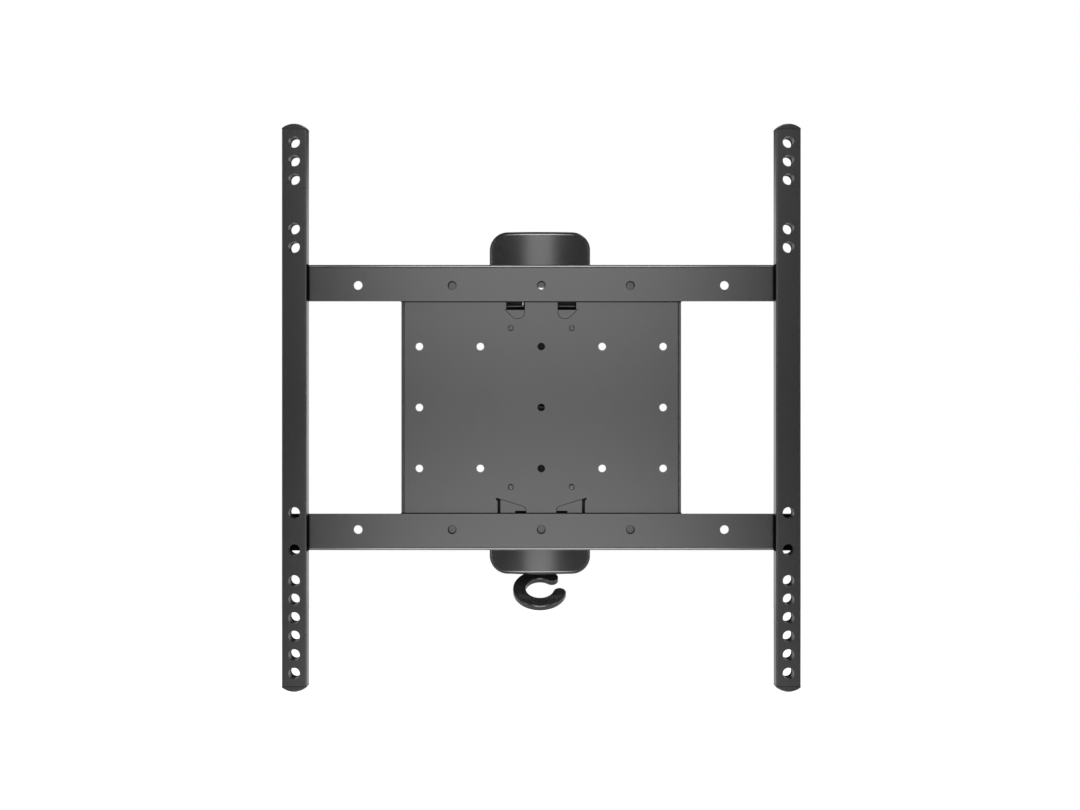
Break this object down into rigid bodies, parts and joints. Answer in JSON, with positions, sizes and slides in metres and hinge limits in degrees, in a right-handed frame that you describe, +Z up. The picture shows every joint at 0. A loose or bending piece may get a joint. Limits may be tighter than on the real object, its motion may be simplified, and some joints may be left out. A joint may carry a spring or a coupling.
{
  "type": "swivel tv wall mount",
  "caption": "Swivel wall mount for a television: a covered wall plate, a swinging arm, a tilting head and a frame with rows of VESA holes.",
  "frame": {"origin": "centre of the wall plate's back face, on the wall", "axes": "+Y into the wall, +Z up, +X to the right as seen from the screen's side"},
  "size_m": [0.42, 0.395, 0.46],
  "materials": {
    "black_paint": "black powder coat with a satin sheen",
    "zinc": "bright zinc plated steel",
    "black_zinc": "blackened steel",
    "cover_plastic": "fine moulded black plastic",
    "cap_plastic": "smooth moulded black plastic",
    "gloss_plastic": "glossy moulded black plastic",
    "bush_plastic": "natural nylon"
  },
  "bodies": {
    "wall": {"wall_plate": "black_paint", "wall_cover": "cover_plastic", "wall_hinge_bracket": "black_paint", "hinge_bracket_screws": "zinc", "wall_pivot_bolt": "zinc", "wall_pivot_nut": "zinc", "wall_pivot_washers": "zinc", "cable_ring": "gloss_plastic", "cable_ring_screw": "zinc"},
    "arm": {"arm_tube": "black_paint", "wall_end_barrel": "black_paint", "head_end_barrel": "black_paint", "wall_end_bushes": "bush_plastic", "head_end_bushes": "bush_plastic", "arm_cable_clips": "cover_plastic"},
    "head": {"head_yoke": "black_paint", "pan_bolt": "zinc", "pan_nut": "zinc", "pan_washers": "zinc", "tilt_bolt": "zinc", "tilt_nut": "zinc", "tilt_washers": "zinc", "tilt_lock_bolts": "zinc", "tilt_lock_washers": "zinc", "tilt_lock_nuts": "zinc"},
    "screen_frame": {"tilt_bracket": "black_paint", "vesa_plate": "black_paint", "plate_rivets": "black_paint", "top_bar": "black_paint", "bottom_bar": "black_paint", "bar_rivets": "black_zinc", "left_upright": "black_paint", "right_upright": "black_paint", "upright_end_caps": "cap_plastic", "upright_screws": "zinc"}
  },
  "joints": [
    {"name": "wall_swivel", "type": "hinge", "parent": "wall", "child": "arm", "pos_m": [0, -0.052, 0], "axis": [0, 0, 1], "range_deg": [-90, 90]},
    {"name": "head_swivel", "type": "hinge", "parent": "arm", "child": "head", "pos_m": [0, -0.322, 0], "axis": [0, 0, 1], "range_deg": [-90, 90]},
    {"name": "screen_tilt", "type": "hinge", "parent": "head", "child": "screen_frame", "pos_m": [0, -0.358, 0], "axis": [1, 0, 0], "range_deg": [-15, 15]}
  ]
}
